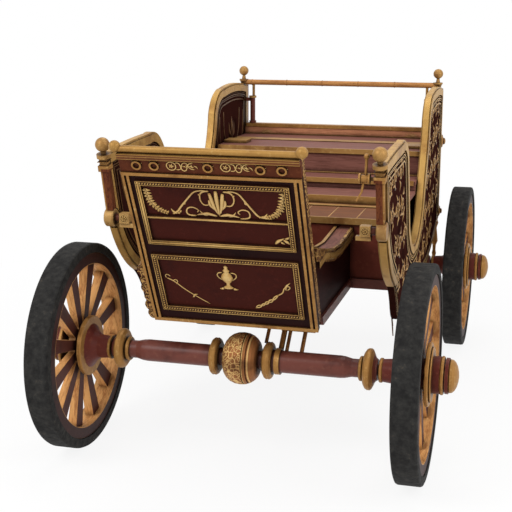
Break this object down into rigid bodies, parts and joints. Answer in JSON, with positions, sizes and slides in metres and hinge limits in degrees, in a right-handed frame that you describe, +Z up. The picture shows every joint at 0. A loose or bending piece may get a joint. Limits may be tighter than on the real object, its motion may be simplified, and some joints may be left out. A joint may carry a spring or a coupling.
{
  "type": "four-wheeled ceremonial chariot",
  "caption": "Open ceremonial carriage with spoked wooden wheels, a leaning front panel, stepped seat boards and carved gilded wings, on a steered front axle.",
  "frame": {"origin": "middle of the footprint at ground level", "axes": "+X to the vehicle's left, -Y forwards, +Z up"},
  "size_m": [1.849, 2.9356, 1.585],
  "materials": {
    "tyre": "matte",
    "maroon_paint": "satin paint",
    "plum_board": "satin paint",
    "wood": "oiled",
    "gilt": "satin gilding",
    "carved_gilt": "worn gilding",
    "steel": "satin"
  },
  "bodies": {
    "body": {"front_panel": "maroon_paint", "panel_cheeks": "carved_gilt", "panel_strips": "gilt", "panel_frames": "gilt", "frieze_rings": "gilt", "top_rail": "gilt", "floor_front": "maroon_paint", "box_walls": "maroon_paint", "box_moulding": "carved_gilt", "ledge_strips": "gilt", "seat_riser": "maroon_paint", "floor_rear": "wood", "base_moulding": "maroon_paint", "seat_deck": "plum_board", "rear_tiers": "plum_board", "seat_strips": "gilt", "back_rail": "gilt", "back_wall": "maroon_paint", "side_panel_left": "carved_gilt", "side_panel_right": "carved_gilt", "wing_moulding_left": "gilt", "wing_moulding_right": "gilt", "scroll_ends": "gilt", "front_posts": "maroon_paint", "rear_posts": "maroon_paint", "finials": "gilt", "rear_rail": "wood", "rear_drops": "gilt", "reel_lever": "gilt", "rear_axle_beam": "maroon_paint", "rear_axle_collars": "gilt", "rear_hangers": "maroon_paint", "bolster": "wood"},
    "forecarriage": {"front_axle_beam": "maroon_paint", "front_axle_collars": "gilt", "axle_ball": "carved_gilt", "wheel_plate": "wood", "king_pin": "steel", "struts": "maroon_paint", "strut_fittings": "carved_gilt"},
    "wheel_front_left": {"tyre_front_left": "tyre", "felloe_front_left": "maroon_paint", "spokes_front_left": "wood", "hub_front_left": "maroon_paint", "hub_trim_front_left": "gilt"},
    "wheel_front_right": {"tyre_front_right": "tyre", "felloe_front_right": "maroon_paint", "spokes_front_right": "wood", "hub_front_right": "maroon_paint", "hub_trim_front_right": "gilt"},
    "wheel_rear_left": {"tyre_rear_left": "tyre", "felloe_rear_left": "maroon_paint", "spokes_rear_left": "wood", "hub_rear_left": "maroon_paint", "hub_trim_rear_left": "gilt"},
    "wheel_rear_right": {"tyre_rear_right": "tyre", "felloe_rear_right": "maroon_paint", "spokes_rear_right": "wood", "hub_rear_right": "maroon_paint", "hub_trim_rear_right": "gilt"}
  },
  "joints": [
    {"name": "steering", "type": "hinge", "parent": "body", "child": "forecarriage", "pos_m": [0, -0.79718, 0.46], "axis": [0, 0, 1], "range_deg": [-12, 12]},
    {"name": "spin_front_left", "type": "hinge", "parent": "forecarriage", "child": "wheel_front_left", "pos_m": [0.757, -0.95718, 0.46], "axis": [1, 0, 0], "continuous": true},
    {"name": "spin_front_right", "type": "hinge", "parent": "forecarriage", "child": "wheel_front_right", "pos_m": [-0.757, -0.95718, 0.46], "axis": [1, 0, 0], "continuous": true},
    {"name": "spin_rear_left", "type": "hinge", "parent": "body", "child": "wheel_rear_left", "pos_m": [0.757, 1.00782, 0.46], "axis": [1, 0, 0], "continuous": true},
    {"name": "spin_rear_right", "type": "hinge", "parent": "body", "child": "wheel_rear_right", "pos_m": [-0.757, 1.00782, 0.46], "axis": [1, 0, 0], "continuous": true}
  ]
}
